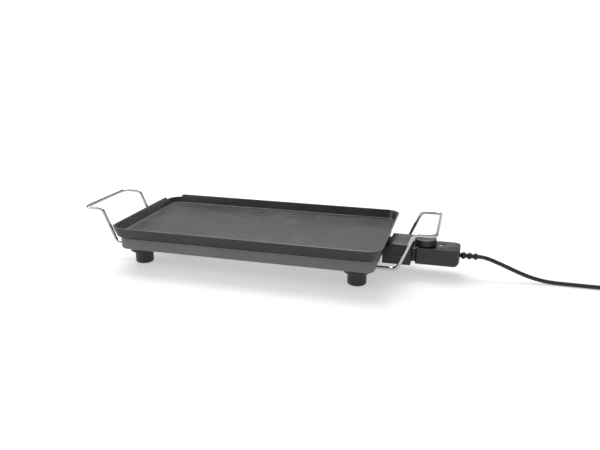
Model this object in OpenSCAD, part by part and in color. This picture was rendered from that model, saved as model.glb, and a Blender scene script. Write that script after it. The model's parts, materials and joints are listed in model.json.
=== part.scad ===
// Electric table griddle: a cast plate on a painted tray with four feet and two wire handles,
// and a plug-in temperature control with its mains lead. Millimetres, table at Z = 0, X is the length.

/* [Plate] */
// Length of the plate over its rim
plate_l = 500; // [400:1:600]
// Width of the plate over its rim
plate_w = 258; // [215:1:310]
// Height of the rim above the plate's underside
plate_h = 21.5; // [18:0.5:30]
// Plan radius of the rim's corners
rim_r = 26; // [16:1:40]
// Thickness of the wall, measured level
rim_t = 3.5; // [3:0.1:5]
// Lean of the wall away from upright, in degrees
wall_lean = 21; // [5:1:24]
// Radius between the wall and the underside
under_r = 8; // [4:0.5:9]
// Thickness of the cooking floor
floor_t = 5.6; // [5:0.1:8]
// Radius at the foot of the wall, inside
fillet_r = 4; // [2:0.5:6]
// Width of the pouring notch at the rim
spout_w = 42; // [20:1:44]
// Depth of the pouring notch
spout_drop = 5; // [3:0.5:8]
// Air gap between the tray and the plate
plate_gap = 1; // [0.5:0.1:3]

/* [Tray] */
// Distance from the rim's outline in to the tray's
tray_inset = 13; // [10:0.5:18]
// Height of the tray
tray_h = 21.7; // [20:0.1:30]
// Plan radius of the tray's corners
tray_r = 14; // [10:1:30]
// Radius of the tray's lower edge
tray_edge_r = 5; // [2:0.5:8]
// Thickness of the sheet
sheet_t = 1.2; // [0.8:0.1:2]
// Width of the lip turned in at the top
lip_w = 4; // [2:0.5:6]

/* [Feet] */
// Height of the tray above the table
foot_h = 31.3; // [28:0.1:40]
// Diameter of a foot
foot_d = 33; // [26:0.5:40]
// Diameter of a foot's flange
flange_d = 50; // [44:0.5:60]
// Thickness of a foot's flange
flange_t = 8; // [7:0.5:10]
// Distance from the tray's end to a foot's axis
foot_in_x = 33.5; // [30:0.5:50]
// Distance from the tray's side to a foot's axis
foot_in_y = 31.5; // [27:0.5:38]
// Diameter of a rubber pad
pad_d = 25; // [15:0.5:25]
// Thickness of a rubber pad
pad_t = 3; // [2:0.5:4]

/* [Handles] */
// Diameter of the wire
wire_d = 6.4; // [5:0.1:7]
// Distance between the two legs of a handle, centre to centre
handle_w = 141; // [110:1:144]
// Distance from the tray's end to the lower knee
knee_out = 32; // [26:0.5:45]
// Level distance that a leg leans out
leg_lean = 26.6; // [15:0.1:40]
// Height of the grip above the lower run
leg_rise = 64; // [50:0.5:80]
// Distance from the upper knee to the grip
grip_out = 36.2; // [30:0.1:50]
// Bend radius of the knees
knee_r = 12; // [8:1:16]
// Bend radius of the grip's corners
grip_r = 10; // [8:1:16]

/* [Socket] */
// Length of the socket housing
block_l = 50; // [42:0.5:65]
// Width of the socket housing
block_w = 64; // [56:0.5:80]
// Height of the socket housing
block_h = 36.6; // [33:0.1:45]
// Height of the pins and the probe above the tray's underside
socket_rise = 7.3; // [5.7:0.1:10.7]
// Distance of the socket housing's underside below the pins
block_drop = 16.2; // [15.5:0.1:20]
// Diameter of a terminal pin
pin_d = 5; // [4:0.1:6]
// Distance between the terminal pins
pin_pitch = 26; // [24:0.5:30]
// Diameter of the probe
probe_d = 6; // [5:0.1:7]
// Diameter of the heating tube
tube_d = 6.6; // [6:0.1:8]

/* [Control] */
// Length of the control's body
body_l = 76; // [66:1:90]
// Width of the control's body
body_w = 50; // [47:0.5:60]
// Height of the control's body above the pins
body_up = 14.6; // [14:0.1:20]
// Height of the control's body below the pins
body_down = 14.6; // [14:0.1:20]
// Length of the neck between the socket housing and the body
neck_l = 7; // [4:0.5:10]
// Width of the nose that plugs in
nose_w = 44; // [41:0.5:46]
// Height of the nose that plugs in
nose_h = 24.6; // [22:0.1:25]
// Depth that the nose goes into the socket housing
nose_in = 26; // [20:0.5:30]
// Wall of the control's housing
shell_t = 2.4; // [2:0.1:3]
// Diameter of the dial
dial_d = 39; // [28:0.5:42]
// Height of the dial
dial_h = 11; // [8:0.5:16]
// Distance from the body's near end to the dial's axis
dial_at = 15.5; // [14:0.5:20]
// Diameter of the dial's shaft
shaft_d = 6; // [5:0.1:7]
// Diameter of the lamp window
lens_d = 6; // [4:0.5:8]
// Distance from the body's near end to the lamp window
lens_at = 42; // [39:0.5:48]

/* [Lead] */
// Diameter of the mains lead
cord_d = 7; // [6:0.1:8]
// Length of the sleeve where the lead leaves the control
sleeve_l = 33; // [25:1:45]
// Diameter of the sleeve's beads
bead_d = 13; // [10:0.5:14]
// Diameter of the plug
plug_d = 37; // [34:0.5:40]
// Length of the plug without its pins
plug_l = 54; // [45:1:60]

/* [Hidden] */
$fn = 48;

// Radial room of a running fit, and of a piece that is only pushed in
run_gap = 0.05;
slip_gap = 0.3;
// Overlap that lets one piece's shapes grow together, and the overshoot of a cut
weld = 1;
over = 1;

// Shift of the pouring notch from the corner's diagonal towards the left wall
spout_shift = 2.5;

plate_z = foot_h + tray_h + plate_gap;
rim_z = plate_z + plate_h;
floor_z = plate_z + floor_t;
tray_l = plate_l - 2 * tray_inset;
tray_w = plate_w - 2 * tray_inset;
tray_z = foot_h + tray_h;
tray_end = tray_l / 2;
tray_floor_z = foot_h + sheet_t;
socket_z = foot_h + socket_rise;

foot_x = tray_end - foot_in_x;
foot_y = tray_w / 2 - foot_in_y;
foot_top_r = 1.5;
pad_out = 0.8;
flange_edge = 2;

screw_d = 5;
screw_head_d = 9.5;
screw_head_h = 3.6;
bore_d = 12;
head_z = foot_h - 12;
boss_r = 7;
boss_drop = 10;
boss_z = plate_z - boss_drop;
spacer_r = 5;

wire_r = wire_d / 2;
wire_z = foot_h - wire_r;
// The bend clears the edge of its hole in the tray by a fifth of a millimetre
hook_gap = 1;
hook_r = wire_r + 0.8;
hook_x = foot_x - flange_d / 2 - 6;
hook_z = tray_floor_z + 7;
knee_x = tray_end + knee_out;
upper_x = knee_x + leg_lean;
grip_x = upper_x + grip_out;
grip_z = wire_z + leg_rise;

block_gap = 1;
block_x = tray_end + block_gap;
block_end = block_x + block_l;
block_z = socket_z - block_drop;
block_step = 11;
block_low_z = plate_z - 2;
block_edge = 1.5;
block_back_t = 7.5;
lug_w = 12;
lug_y = 20;
lug_l = 22;
lug_t = 7;
lug_screw_d = 4;
lug_screw_x = block_x - 13;
lug_screw_depth = 4;
notch_w = 2 * (lug_y + lug_w / 2 + 2);
notch_z = socket_z - 5;

// The end of the tray's inside, where the heating tube's ends and the probe's well stop
well_end = tray_end - 5;
well_l = 67;
well_w = 16;
well_drop = 4.6;
probe_reach = 57;
probe_tip = well_end - probe_reach;
pin_tip = block_x + 33;
tube_r = tube_d / 2;
tube_z = plate_z - 4.5;
loop_in = 32;
loop_x = tray_end - loop_in;
loop_y = tray_w / 2 - 54;
loop_r = 18;
loop_drop_r = (tube_z - socket_z) / 2 - 0.2;
ridge_w = 13;

nose_x = block_end - nose_in;
body_x = block_end + neck_l;
body_end = body_x + body_l;
body_top_z = socket_z + body_up;
body_low_z = socket_z - body_down;
body_near_r = 4;
body_far_r = 12;
body_end_r = 9;
nose_gap = 0.6;
nose_wall = 3;
nose_plan_r = 3;
sleeve_x = nose_x + nose_wall + 1;
contact_l = 20;
contact_t = 1.4;
dial_x = body_x + dial_at;
dial_gap = 0.5;
dial_z = body_top_z + dial_gap;
dial_notches = 18;
notch_r = 1.4;
// The dial's upper edge, the plain ring under its notches, and its pointer mark
dial_edge = 1;
dial_skirt = 2;
mark_w = 1.2;
mark_l = 9;
mark_deep = 0.8;
shaft_in = 6;
shaft_low_z = socket_z + 7;
lens_x = body_x + lens_at;
lens_rise = 0.8;
switch_x = body_x - 6;
switch_l = 44;
switch_w = 32;
switch_low_z = socket_z - 8;
switch_top_z = socket_z + nose_h / 2 - shell_t - slip_gap;
post_x = body_x + 60;
post_y = 15;
post_r = 4;
post_screw_d = 3;
clamp_x = body_end - 11;
grommet_t = 0.5;
grommet_r = cord_d / 2 + grommet_t;

reach_left = grip_x + wire_r;
reach_right = body_end;
shift_x = (reach_left - reach_right) / 2;

// The lead's route, in place: out of the sleeve, down to the table, and away along it
cord_r = cord_d / 2;
lead_route = [
    [386, 0, 38.6], [392, 0, 38.2], [402, 0, 36], [416, 0, 31.2], [432, 0, 25],
    [448, 0, 18.6], [464, 0, 12.8], [480, 0, 8.2], [497, 0, 5], [515, 0, 3.7],
    [534, 0, 3.5], [553, 0, 3.5], [572, 0, 3.5], [591, 0, 3.6], [610, 0, 3.8],
    [628, -1, 4], [645, -2.6, 4.2], [660, -3.5, 4.3]
];
tail_route = [
    [618, 38.5, 11.3], [618, 27, 11.4], [618, 14, 11.6], [618, 0, 12.3],
    [618, -13, 13.8], [618, -26, 16.2], [618, -36, 17.8], [618, -44, 18.5]
];
coil_at = [660, 38.5];
coil_mid_r = 38.5;
coil_rows = 2;
tie_t = 0.8;
tie_angle = 15;
coil_side = coil_rows * cord_d;
plug_at = tail_route[len(tail_route) - 1];
plug_pin_d = 4.8;
plug_root_d = 4;
plug_root_l = 8;
plug_pin_l = 19;
plug_pin_pitch = 19;
plug_head_l = 20;
plug_neck_r = 5.5;
plug_grip_r = 11.5;
plug_clip_w = 7;
plug_clip_t = 1;

black_cast = [0.16, 0.16, 0.17];
grey_paint = [0.36, 0.37, 0.38];
black_resin = [0.13, 0.13, 0.14];
chrome_tone = [0.8, 0.8, 0.82];
steel_tone = [0.6, 0.6, 0.62];
brass_tone = [0.78, 0.66, 0.38];
rubber_tone = [0.1, 0.1, 0.1];
ceramic_tone = [0.86, 0.83, 0.76];
amber_tone = [0.95, 0.62, 0.3];

// ---- helpers ----

// Moves what is drawn about the plate's middle so that the whole object is centred
module placed() {
    translate([shift_x, 0, 0]) children();
}

// One copy at each corner of a rectangle, given half its sides
module at_corners(x, y) {
    for (sx = [-1, 1], sy = [-1, 1]) translate([sx * x, sy * y, 0]) children();
}

// Both sides of the middle, at plus and minus y
module both_sides(y) {
    for (s = [-1, 1]) translate([0, s * y, 0]) children();
}

// A flat outline with round corners
module round_rect(l, w, r) {
    square([l - 2 * r, w], center = true);
    square([l, w - 2 * r], center = true);
    for (sx = [-1, 1], sy = [-1, 1]) translate([sx * (l / 2 - r), sy * (w / 2 - r)]) circle(r);
}

// Half section of a dish's corner: a leaning wall and a rounded lower edge, no rounder than fits
function dish_half(r, z_top, z_low, lean, edge) =
    let (e = min(edge, (r - (z_top - z_low) * tan(lean)) / (1 / cos(lean) - tan(lean))))
    let (zc = z_low + e)
    let (xc = r - (z_top - zc) * tan(lean) - e / cos(lean))
    concat(
        [[0, z_low]],
        [for (k = [0 : 8]) let (a = -90 + k * (90 - lean) / 8) [xc + e * cos(a), zc + e * sin(a)]],
        [[r, z_top], [0, z_top]]
    );

// A solid dish with round corners
module dish(l, w, r, z_top, z_low, lean, edge) {
    hull() at_corners(l / 2 - r, w / 2 - r)
        rotate_extrude() polygon(dish_half(r, z_top, z_low, lean, edge));
}

function unit(v) = v / norm(v);
function side_of(u) = unit(abs(u.z) > 0.9 ? cross([0, 1, 0], u) : cross([0, 0, 1], u));
function frame_of(ex, ey, ez, at) = [
    [ex.x, ey.x, ez.x, at.x],
    [ex.y, ey.y, ez.y, at.y],
    [ex.z, ey.z, ez.z, at.z],
    [0, 0, 0, 1]
];

// A round rod from a to b
module rod(a, b, r) {
    u = unit(b - a);
    s = side_of(u);
    if (norm(b - a) > 0.05) multmatrix(frame_of(s, cross(u, s), u, a)) cylinder(h = norm(b - a), r = r);
}

function turn_at(pts, i) = acos(unit(pts[i] - pts[i - 1]) * unit(pts[i + 1] - pts[i]));
function setback(pts, bends, i) =
    (i == 0 || i == len(pts) - 1) ? 0 : bends[i] * tan(turn_at(pts, i) / 2);

// The bend of a wire at its corner i
module elbow(pts, bends, i, r) {
    u = unit(pts[i] - pts[i - 1]);
    v = unit(pts[i + 1] - pts[i]);
    start = pts[i] - u * setback(pts, bends, i);
    inward = unit(v - u * (u * v));
    centre = start + inward * bends[i];
    multmatrix(frame_of(-inward, u, cross(-inward, u), centre))
        rotate_extrude(angle = turn_at(pts, i)) translate([bends[i], 0]) circle(r);
}

// A bent round wire through corner points, with a bend radius for each corner
module wire(pts, bends, r) {
    last = len(pts) - 1;
    for (i = [0 : last - 1]) {
        u = unit(pts[i + 1] - pts[i]);
        rod(pts[i] + u * setback(pts, bends, i), pts[i + 1] - u * setback(pts, bends, i + 1), r);
    }
    for (i = [1 : last - 1]) elbow(pts, bends, i, r);
}

// Places along a bent wire, each with its direction: eight steps in a bend, none in a straight
function bend_stations(pts, bends, i) =
    let (u = unit(pts[i] - pts[i - 1]))
    let (v = unit(pts[i + 1] - pts[i]))
    let (inward = unit(v - u * (u * v)))
    let (centre = pts[i] - u * setback(pts, bends, i) + inward * bends[i])
    [for (k = [0 : 8]) let (a = turn_at(pts, i) * k / 8)
        [centre + bends[i] * (sin(a) * u - cos(a) * inward), cos(a) * u + sin(a) * inward]];
function wire_stations(pts, bends) =
    let (last = len(pts) - 1)
    concat(
        [[pts[0], unit(pts[1] - pts[0])]],
        [for (i = [1 : last - 1]) each bend_stations(pts, bends, i)],
        [[pts[last], unit(pts[last] - pts[last - 1])]]
    );

// The side direction at each place, carried along without twist
function carried(stations, i, n) =
    i >= len(stations) ? [] :
    let (t = stations[i][1])
    let (m = unit(n - (n * t) * t))
    concat([m], carried(stations, i + 1, m));

// A closed tube whose rings are given: the same number of points in each
module ring_tube(rings, sides) {
    last = len(rings) - 1;
    polyhedron(
        points = [for (ring = rings) each ring],
        faces = concat(
            [[for (k = [0 : sides - 1]) k]],
            [for (i = [0 : last - 1], k = [0 : sides - 1])
                let (a = i * sides + k)
                let (b = i * sides + (k + 1) % sides)
                [a, a + sides, b + sides, b]],
            [[for (k = [sides - 1 : -1 : 0]) last * sides + k]]
        )
    );
}

// A bent wire with bends out of line with the axes
module swept_wire(stations, r) {
    sides = 24;
    across = carried(stations, 0, side_of(stations[0][1]));
    ring_tube(
        [for (i = [0 : len(stations) - 1])
            let (n = across[i])
            let (m = cross(stations[i][1], n))
            [for (k = [0 : sides - 1])
                stations[i][0] + r * (cos(360 * k / sides) * n + sin(360 * k / sides) * m)]],
        sides
    );
}

// A pan-head screw that stands on its head, with a cross in the head's underside
module screw(d, head_d, head_h, l) {
    difference() {
        union() {
            cylinder(h = head_h, d = head_d);
            cylinder(h = head_h + l, d = d);
        }
        for (a = [0, 90]) rotate([0, 0, a])
            translate([0, 0, head_h / 4]) cube([head_d * 0.55, 1, head_h / 2 + over], center = true);
    }
}

// ---- plate, heater and socket ----

heater_corners = [
    [well_end, pin_pitch / 2, socket_z],
    [loop_x, pin_pitch / 2, socket_z],
    [loop_x, pin_pitch / 2, tube_z],
    [loop_x, loop_y, tube_z],
    [-loop_x, loop_y, tube_z],
    [-loop_x, -loop_y, tube_z],
    [loop_x, -loop_y, tube_z],
    [loop_x, -pin_pitch / 2, tube_z],
    [loop_x, -pin_pitch / 2, socket_z],
    [well_end, -pin_pitch / 2, socket_z]
];
heater_bends = [
    0, loop_drop_r, loop_drop_r, loop_r, loop_r, loop_r, loop_r, loop_drop_r, loop_drop_r, 0
];

// The cast ridge under the floor that holds the heating tube
module ridge() {
    translate([0, 0, tube_z]) linear_extrude(plate_z + weld - tube_z) difference() {
        round_rect(2 * loop_x + ridge_w, 2 * loop_y + ridge_w, loop_r + ridge_w / 2);
        round_rect(2 * loop_x - ridge_w, 2 * loop_y - ridge_w, loop_r - ridge_w / 2);
    }
}

// The pouring notch across the back left corner of the rim
module spout_cut() {
    translate([-(plate_l / 2 - rim_r), plate_w / 2 - rim_r, rim_z]) rotate([0, 0, 135])
        translate([-spout_w / 2, spout_shift, 0]) rotate([90, 0, 90])
            linear_extrude(spout_w / 2 + 1.5 * rim_r)
            polygon([
                [-spout_w / 2 + spout_drop, -spout_drop], [spout_w / 2 - spout_drop, -spout_drop],
                [spout_w / 2 + over, over], [-spout_w / 2 - over, over]
            ]);
}

module griddle_plate() {
    color(black_cast) difference() {
        union() {
            difference() {
                dish(plate_l, plate_w, rim_r, rim_z, plate_z, wall_lean, under_r);
                dish(
                    plate_l - 2 * rim_t + 2 * over * tan(wall_lean),
                    plate_w - 2 * rim_t + 2 * over * tan(wall_lean),
                    rim_r - rim_t + over * tan(wall_lean), rim_z + over, floor_z, wall_lean, fillet_r
                );
            }
            ridge();
            at_corners(foot_x, foot_y) translate([0, 0, boss_z]) cylinder(h = boss_drop + weld, r = boss_r);
            translate([well_end - well_l, -well_w / 2, socket_z - well_drop])
                cube([well_l, well_w, plate_z + weld - socket_z + well_drop]);
        }
        spout_cut();
        wire(heater_corners, heater_bends, tube_r + run_gap);
        rod([probe_tip - 2, 0, socket_z], [well_end + over, 0, socket_z], probe_d / 2 + run_gap);
        at_corners(foot_x, foot_y) translate([0, 0, boss_z - over])
            cylinder(h = boss_drop + over, d = screw_d + 2 * run_gap);
        both_sides(lug_y) translate([lug_screw_x, 0, plate_z - over])
            cylinder(h = lug_screw_depth + over, d = lug_screw_d + 2 * run_gap);
    }
}

module heating_element() {
    color(steel_tone) wire(heater_corners, heater_bends, tube_r);
}

module terminal_pins() {
    color(steel_tone) both_sides(pin_pitch / 2) {
        rod([well_end, 0, socket_z], [pin_tip - 1, 0, socket_z], pin_d / 2);
        translate([pin_tip - 1, 0, socket_z]) rotate([0, 90, 0]) cylinder(h = 1, d1 = pin_d, d2 = pin_d - 1.5);
    }
}

// Side view of the socket housing: its top steps down where it goes under the rim
module block_side() {
    translate([block_x, block_z]) square([block_l, block_low_z - block_z]);
    translate([block_x + block_step, block_z]) square([block_l - block_step, block_h]);
}

module socket_housing() {
    nose_room_w = nose_w + 2 * nose_gap;
    nose_room_h = nose_h + 2 * nose_gap;
    color(black_resin) difference() {
        union() {
            intersection() {
                rotate([90, 0, 0]) linear_extrude(block_w, center = true) block_side();
                translate([block_x + block_l / 2, 0, 0])
                    linear_extrude(rim_z) round_rect(block_l, block_w, block_edge);
            }
            both_sides(lug_y) translate([block_x - lug_l, -lug_w / 2, plate_z - lug_t])
                cube([lug_l + weld, lug_w, lug_t]);
        }
        translate([block_x + block_back_t, -nose_room_w / 2, socket_z - nose_room_h / 2])
            cube([block_l, nose_room_w, nose_room_h]);
        both_sides(pin_pitch / 2)
            rod([block_x - over, 0, socket_z], [block_end, 0, socket_z], pin_d / 2 + run_gap);
        rod([block_x - over, 0, socket_z], [block_end, 0, socket_z], probe_d / 2 + slip_gap);
        translate([block_x - lug_l - over, -block_w / 2, plate_z])
            cube([lug_l + block_step + over, block_w, plate_h]);
        both_sides(lug_y) translate([lug_screw_x, 0, plate_z - lug_t - over])
            cylinder(h = lug_t + 2 * over, d = lug_screw_d + 2 * slip_gap);
    }
}

module socket_screws() {
    head_h = 2.4;
    color(steel_tone) both_sides(lug_y) translate([lug_screw_x, 0, plate_z - lug_t - head_h])
        screw(lug_screw_d, 2 * lug_screw_d - 0.6, head_h, lug_t + lug_screw_depth - 0.4);
}

// ---- tray, feet and handles ----

module base_tray() {
    color(grey_paint) difference() {
        union() {
            difference() {
                dish(tray_l, tray_w, tray_r, tray_z, foot_h, 0, tray_edge_r);
                dish(
                    tray_l - 2 * sheet_t, tray_w - 2 * sheet_t, tray_r - sheet_t,
                    tray_z + over, tray_floor_z, 0, tray_edge_r - sheet_t
                );
            }
            translate([0, 0, tray_z - sheet_t]) linear_extrude(sheet_t) difference() {
                round_rect(tray_l - sheet_t, tray_w - sheet_t, tray_r - sheet_t / 2);
                round_rect(tray_l - 2 * lip_w, tray_w - 2 * lip_w, tray_r - lip_w);
            }
        }
        translate([tray_end - lip_w - over, -notch_w / 2, notch_z])
            cube([lip_w + 2 * over, notch_w, tray_h]);
        at_corners(foot_x, foot_y) translate([0, 0, foot_h - over])
            cylinder(h = sheet_t + 2 * over, d = screw_d + 2 * slip_gap);
        at_corners(hook_x, handle_w / 2) translate([0, 0, foot_h - over])
            cylinder(h = sheet_t + 2 * over, d = wire_d + 2 * hook_gap);
    }
}

// The wire of the right-hand handle; side is -1 for the left
module handle(side) {
    y = handle_w / 2;
    near = [
        [side * hook_x, -y, hook_z],
        [side * hook_x, -y, wire_z],
        [side * knee_x, -y, wire_z],
        [side * upper_x, -y, grip_z],
        [side * grip_x, -y, grip_z]
    ];
    far = [for (k = [len(near) - 1 : -1 : 0]) [near[k].x, y, near[k].z]];
    bends = [0, hook_r, knee_r, knee_r, grip_r];
    back = [for (k = [len(bends) - 1 : -1 : 0]) bends[k]];
    color(chrome_tone) swept_wire(wire_stations(concat(near, far), concat(bends, back)), wire_r);
}

// A foot about its own axis, with the groove that clamps the handle's wire on its inner side
module foot(inner) {
    color(black_resin) difference() {
        rotate_extrude() polygon([
            [0, pad_out], [foot_d / 2 - foot_top_r, pad_out], [foot_d / 2, pad_out + foot_top_r],
            [foot_d / 2, foot_h - flange_t], [flange_d / 2 - flange_edge, foot_h - flange_t],
            [flange_d / 2, foot_h - flange_t + flange_edge], [flange_d / 2, foot_h], [0, foot_h]
        ]);
        translate([0, 0, -over]) cylinder(h = pad_t + over, d = pad_d);
        translate([0, 0, -over]) cylinder(h = head_z + over, d = bore_d);
        cylinder(h = foot_h + over, d = screw_d + 2 * slip_gap);
        translate([0, inner * (foot_y - handle_w / 2), 0]) {
            rod([-flange_d, 0, wire_z], [flange_d, 0, wire_z], wire_r + run_gap);
            translate([-flange_d, -wire_r - run_gap, wire_z])
                cube([2 * flange_d, wire_d + 2 * run_gap, wire_d]);
        }
    }
}

module foot_at(side, back) {
    translate([side * foot_x, back * foot_y, 0]) foot(-back);
}

module foot_pads() {
    color(rubber_tone) at_corners(foot_x, foot_y) cylinder(h = pad_t, d = pad_d - 2 * run_gap);
}

module foot_screws() {
    tip_z = plate_z - over;
    color(steel_tone) at_corners(foot_x, foot_y) translate([0, 0, head_z - screw_head_h])
        screw(screw_d, screw_head_d, screw_head_h, tip_z - head_z);
}

module spacers() {
    color(steel_tone) at_corners(foot_x, foot_y) translate([0, 0, tray_floor_z]) difference() {
        cylinder(h = boss_z - tray_floor_z, r = spacer_r);
        translate([0, 0, -over]) cylinder(h = boss_z - tray_floor_z + 2 * over, d = screw_d + 2 * slip_gap);
    }
}

// ---- plug-in control ----

// Plan of the control's body, grown by g: tight corners at the socket, round ones at the lead
module body_plan(g) {
    near = body_near_r + g;
    far = body_far_r + g;
    half = body_w / 2 + g;
    translate([body_x - g + near, -half]) square([body_l + 2 * g - near - far, 2 * half]);
    translate([body_x - g, near - half]) square([near, 2 * (half - near)]);
    translate([body_end + g - far, far - half]) square([far, 2 * (half - far)]);
    for (s = [-1, 1]) {
        translate([body_x - g + near, s * (half - near)]) circle(near);
        translate([body_end + g - far, s * (half - far)]) circle(far);
    }
}

// Outer shape of the control, grown by g (negative for the hollow inside)
module control_form(g) {
    nose_l = nose_in + neck_l;
    intersection() {
        translate([0, 0, body_low_z - g]) linear_extrude(body_up + body_down + 2 * g) body_plan(g);
        rotate([90, 0, 0]) linear_extrude(2 * body_w, center = true) difference() {
            translate([body_x - 2 * over, body_low_z - 2 * over])
                square([body_l + 4 * over, body_up + body_down + 4 * over]);
            translate([body_end - body_end_r, body_low_z - 3 * over])
                square([body_end_r + 3 * over, body_end_r + 3 * over]);
        }
    }
    intersection() {
        translate([body_end - body_end_r, 0, body_low_z + body_end_r]) rotate([90, 0, 0])
            cylinder(h = body_w + 2 * g, r = body_end_r + g, center = true);
        translate([0, 0, body_low_z - g]) linear_extrude(body_up + body_down + 2 * g) body_plan(g);
    }
    translate([nose_x - g, 0, socket_z]) rotate([90, 0, 90])
        linear_extrude(nose_l + body_near_r + g) round_rect(nose_w + 2 * g, nose_h + 2 * g, nose_plan_r + g);
}

// Everything that the two halves of the control's housing leave free
module control_room() {
    difference() {
        control_form(-shell_t);
        both_sides(post_y) translate([post_x, 0, body_low_z]) cylinder(h = body_up + body_down, r = post_r);
        translate([nose_x, -nose_w / 2, socket_z - nose_h / 2]) cube([nose_wall, nose_w, nose_h]);
    }
    both_sides(pin_pitch / 2) rod([nose_x - over, 0, socket_z], [sleeve_x, 0, socket_z], pin_d / 2 + slip_gap);
    rod([nose_x - over, 0, socket_z], [switch_x, 0, socket_z], probe_d / 2);
    rod([body_end - 2 * shell_t, 0, socket_z], [body_end + over, 0, socket_z], grommet_r);
    translate([dial_x, 0, socket_z]) cylinder(h = 2 * body_up, d = shaft_d + 2 * run_gap);
    translate([lens_x, 0, socket_z]) cylinder(h = 2 * body_up, d = lens_d);
    both_sides(post_y) translate([post_x, 0, body_low_z]) {
        translate([0, 0, -over]) cylinder(h = 3 + over, d = 2 * post_screw_d);
        cylinder(h = body_up + body_down - shell_t - 1, d = post_screw_d + 2 * run_gap);
    }
}

// The part of the housing above (1) or below (-1) the level of the pins
module control_half(up) {
    reach = 2 * (body_l + nose_in + neck_l);
    deep = body_up + body_down;
    color(black_resin) intersection() {
        difference() {
            control_form(0);
            control_room();
        }
        translate([body_x - reach / 2, -body_w, socket_z - (up > 0 ? 0 : deep)]) cube([reach, 2 * body_w, deep]);
    }
}

module control_screws() {
    color(steel_tone) both_sides(post_y) translate([post_x, 0, body_low_z + 1])
        screw(post_screw_d, 2 * post_screw_d - 0.6, 2, body_up + body_down - shell_t - 5);
}

module probe_rod() {
    color(steel_tone) {
        rod([probe_tip + probe_d / 2, 0, socket_z], [switch_x, 0, socket_z], probe_d / 2);
        translate([probe_tip + probe_d / 2, 0, socket_z]) sphere(d = probe_d);
    }
}

module contact_sleeves() {
    color(brass_tone) both_sides(pin_pitch / 2) difference() {
        union() {
            rod([sleeve_x, 0, socket_z], [sleeve_x + contact_l, 0, socket_z], pin_d / 2 + contact_t);
            translate([sleeve_x + contact_l - over, -2, socket_z - 0.6])
                cube([switch_x - sleeve_x - contact_l + over, 4, 1.2]);
        }
        rod([sleeve_x - over, 0, socket_z], [sleeve_x + contact_l - 1.5, 0, socket_z], pin_d / 2 + run_gap);
    }
}

module switch_block() {
    color(ceramic_tone) difference() {
        translate([switch_x, -switch_w / 2, switch_low_z])
            cube([switch_l, switch_w, switch_top_z - switch_low_z]);
        translate([dial_x, 0, shaft_low_z - slip_gap]) cylinder(h = body_up, d = shaft_d + 2 * run_gap);
        for (s = [-1, 1]) translate([switch_x + switch_l - 10, s * switch_w / 2, socket_z])
            cube([12, 8, 8], center = true);
    }
}

module neon_lamp() {
    color(amber_tone) translate([lens_x, 0, switch_top_z]) {
        cylinder(h = 1.5, d = lens_d - 1);
    }
}

module lamp_window() {
    color(amber_tone) translate([lens_x, 0, switch_top_z + 1.5]) {
        cylinder(h = body_top_z - switch_top_z - 1.5, d = lens_d);
        translate([0, 0, body_top_z - switch_top_z - 1.5]) cylinder(h = lens_rise, d1 = lens_d, d2 = lens_d - 2);
    }
}

// The beaded sleeve that guards the lead where it leaves the control
module strain_relief() {
    bead_pitch = (sleeve_l - 2) / 3;
    color(rubber_tone) translate([body_end, 0, socket_z]) rotate([0, 90, 0]) {
        translate([0, 0, -2 * shell_t]) cylinder(h = sleeve_l + 2 * shell_t, r = grommet_r);
        translate([0, 0, -2 * shell_t - 2]) cylinder(h = 2, r = grommet_r + 2);
        for (k = [0 : 2]) translate([0, 0, bead_pitch * (k + 0.6)]) scale([1, 1, 0.7]) sphere(d = bead_d - 0.4 * k);
    }
}

module cord_clamp() {
    color(black_resin) translate([clamp_x, 0, socket_z]) cube([5, 18, 9], center = true);
}

module dial() {
    color(black_resin) difference() {
        translate([dial_x, 0, dial_z]) rotate_extrude() polygon([
            [0, 0], [dial_d / 2, 0], [dial_d / 2, dial_h - dial_edge],
            [dial_d / 2 - dial_edge, dial_h], [0, dial_h]
        ]);
        for (k = [0 : dial_notches - 1]) translate([dial_x, 0, 0]) rotate([0, 0, k * 360 / dial_notches])
            translate([dial_d / 2, 0, dial_z + dial_skirt]) cylinder(h = dial_h, r = notch_r, $fn = 24);
        translate([dial_x - mark_w / 2, dial_d / 2 - mark_l - 4, dial_z + dial_h - mark_deep])
            cube([mark_w, mark_l, mark_deep + over]);
        translate([dial_x, 0, dial_z - over]) cylinder(h = shaft_in + over, d = shaft_d);
    }
}

module dial_shaft() {
    color(steel_tone) translate([dial_x, 0, shaft_low_z]) cylinder(h = dial_z + shaft_in - shaft_low_z, d = shaft_d);
}

// ---- mains lead ----

// One ring of a swept tube, at point i of a route
function ring_at(route, i, r, sides) =
    let (last = len(route) - 1)
    let (t = unit(route[min(i + 1, last)] - route[max(i - 1, 0)]))
    let (s = unit(cross([0, 0, 1], t)))
    let (n = cross(t, s))
    [for (k = [0 : sides - 1]) route[i] + r * (cos(360 * k / sides) * s + sin(360 * k / sides) * n)];

module cord_tube(route, r) {
    sides = 12;
    ring_tube([for (i = [0 : len(route) - 1]) ring_at(route, i, r, sides)], sides);
}

// Section of the coil's bundle, grown by g
module bundle(g) {
    translate([coil_mid_r, tie_t + coil_side / 2])
        round_rect(coil_side + 2 * g, coil_side + 2 * g, cord_r + g);
}

module cord_lead() {
    color(rubber_tone) cord_tube(lead_route, cord_r);
}

module cord_tail() {
    color(rubber_tone) cord_tube(tail_route, cord_r);
}

module cord_coil() {
    color(rubber_tone) translate(coil_at) rotate_extrude($fn = 72) bundle(0);
}

module cord_tie() {
    color(rubber_tone) translate(coil_at) rotate([0, 0, 60]) rotate_extrude(angle = tie_angle) difference() {
        bundle(tie_t);
        bundle(0);
    }
}

// Turns a shape drawn along +Z so that it lies on the table and points towards -Y
module lay_plug() {
    translate(plug_at) rotate([90, 0, 0]) children();
}

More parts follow.
